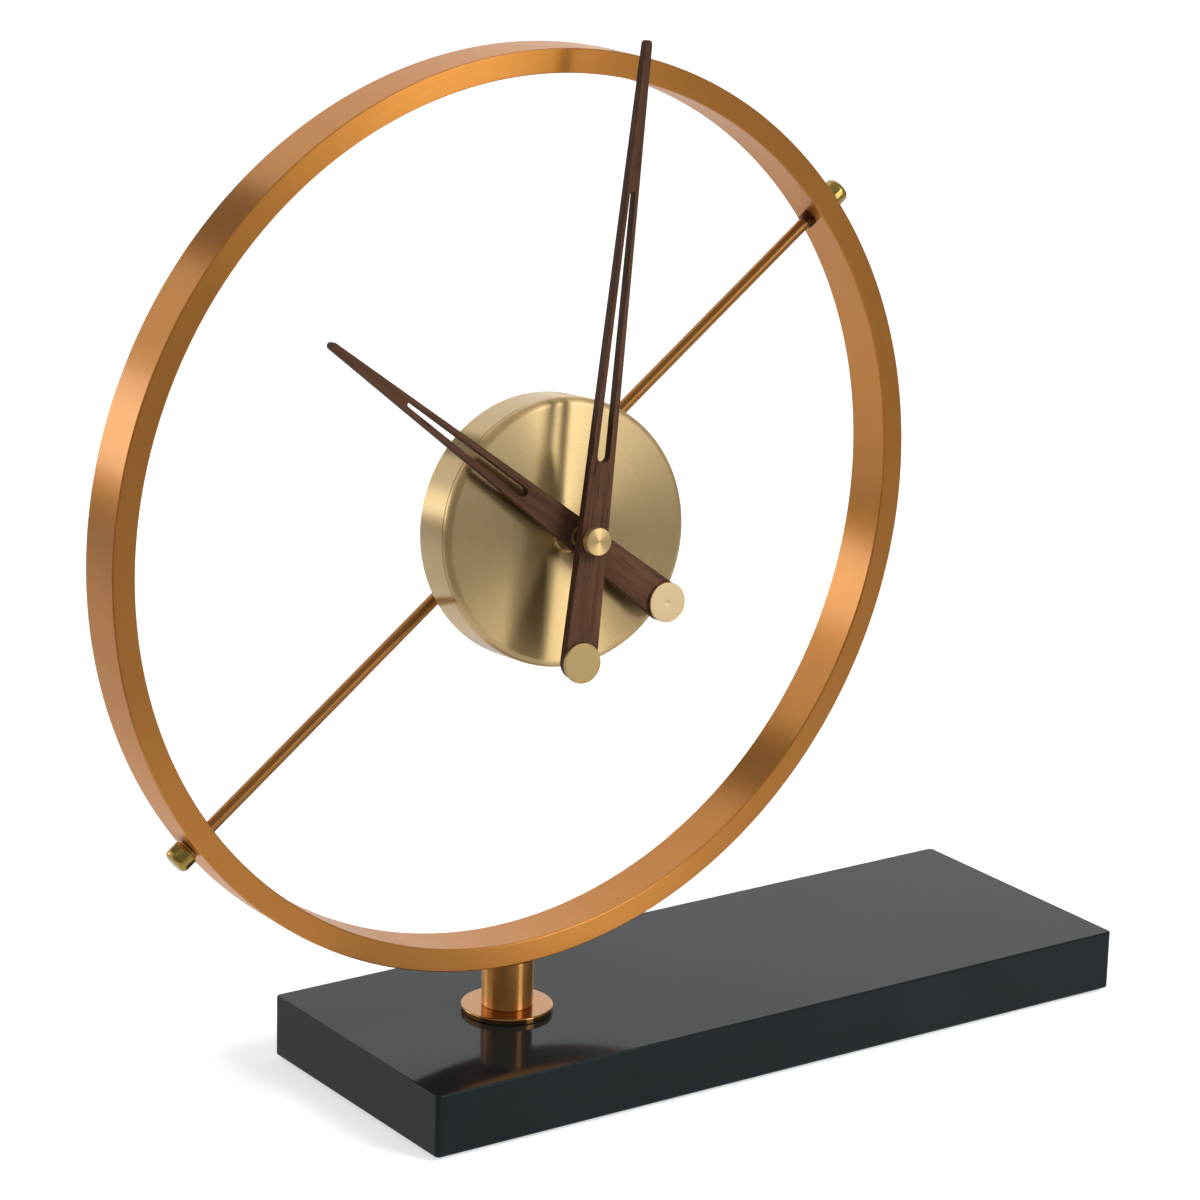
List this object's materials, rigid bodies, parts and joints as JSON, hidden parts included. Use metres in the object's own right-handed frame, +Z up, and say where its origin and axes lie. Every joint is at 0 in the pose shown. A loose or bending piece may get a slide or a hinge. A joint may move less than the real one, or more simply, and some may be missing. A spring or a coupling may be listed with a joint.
{
  "type": "table clock",
  "caption": "Table clock: an open copper ring on a dark stone slab, with a rod across it that carries a brass drum, leaned back about the rod, whose quartz movement turns slotted walnut hands.",
  "frame": {"origin": "centre of the felt sheet's underside, which is the middle of the slab, on the table", "axes": "+Z up, X along the slab's long side with the ring near its -X end, and the hands face -Y"},
  "size_m": [0.371, 0.1024, 0.3454],
  "materials": {
    "stone": "polished dark slate",
    "felt": "felt",
    "satin_copper": "satin brushed copper",
    "polished_copper": "polished copper",
    "drum_brass": "brushed pale brass",
    "hand_brass": "satin turned brass",
    "nut_brass": "polished brass",
    "steel": "zinc plated",
    "dark_metal": "darkened",
    "walnut": "oiled dark walnut",
    "black_plastic": "moulded",
    "white_plastic": "moulded",
    "rubber": "matt",
    "board": "lacquered",
    "winding": "enamelled copper wire",
    "cell_jacket": "plain jacket"
  },
  "bodies": {
    "stand": {"base_slab": "stone", "base_pad": "felt", "base_bolt": "steel", "base_washer": "steel", "post_flange": "polished_copper", "post": "polished_copper", "ring_stud": "steel", "ring": "satin_copper", "cross_rod": "polished_copper", "rod_nut_lower": "nut_brass", "rod_nut_upper": "nut_brass", "rod_collar_lower": "dark_metal", "rod_collar_upper": "dark_metal", "drum": "drum_brass", "rod_bridge": "drum_brass", "bridge_screw_lower": "steel", "bridge_screw_upper": "steel", "rod_set_screw": "steel", "gasket": "rubber", "movement_front": "black_plastic", "movement_back": "black_plastic", "threaded_bushing": "hand_brass", "dial_nut": "hand_brass", "train_plate": "white_plastic", "stator": "steel", "coil": "winding", "circuit_board": "board", "crystal": "steel", "cell": "cell_jacket", "contact_positive": "steel", "contact_negative": "steel"},
    "minute": {"minute_hand": "walnut", "minute_bush": "hand_brass", "minute_disc": "hand_brass", "hand_cap": "hand_brass", "minute_arbor": "hand_brass"},
    "hour": {"hour_hand": "walnut", "hour_bush": "hand_brass", "hour_disc": "hand_brass", "hour_wheel": "black_plastic"},
    "setting": {"minute_wheel": "white_plastic", "setting_knob": "black_plastic"},
    "third": {"third_wheel": "white_plastic"},
    "intermediate": {"intermediate_wheel": "white_plastic"},
    "motor": {"rotor": "steel"}
  },
  "joints": [
    {"name": "minute_turn", "type": "hinge", "parent": "stand", "child": "minute", "pos_m": [-0.07944, -0.00037, 0.18895], "axis": [0.0852, 0.99, -0.1122], "continuous": true},
    {"name": "hour_turn", "type": "hinge", "parent": "stand", "child": "hour", "pos_m": [-0.07944, -0.00037, 0.18895], "axis": [0.0852, 0.99, -0.1122], "continuous": true},
    {"name": "setting_turn", "type": "hinge", "parent": "stand", "child": "setting", "pos_m": [-0.08881, 0.00088, 0.19284], "axis": [0.0852, 0.99, -0.1122], "continuous": true},
    {"name": "third_turn", "type": "hinge", "parent": "stand", "child": "third", "pos_m": [-0.07412, 0.00011, 0.19716], "axis": [0.0852, 0.99, -0.1122], "continuous": true},
    {"name": "intermediate_turn", "type": "hinge", "parent": "stand", "child": "intermediate", "pos_m": [-0.07724, 0.00125, 0.20487], "axis": [0.0852, 0.99, -0.1122], "continuous": true},
    {"name": "motor_turn", "type": "hinge", "parent": "stand", "child": "motor", "pos_m": [-0.08528, 0.00166, 0.20236], "axis": [0.0852, 0.99, -0.1122], "continuous": true}
  ],
  "couplings": [
    {"joint": "hour_turn", "follows": "minute_turn", "ratio": 0.083333},
    {"joint": "setting_turn", "follows": "minute_turn", "ratio": -0.33333},
    {"joint": "third_turn", "follows": "minute_turn", "ratio": -6},
    {"joint": "intermediate_turn", "follows": "minute_turn", "ratio": 30},
    {"joint": "motor_turn", "follows": "minute_turn", "ratio": -180}
  ]
}
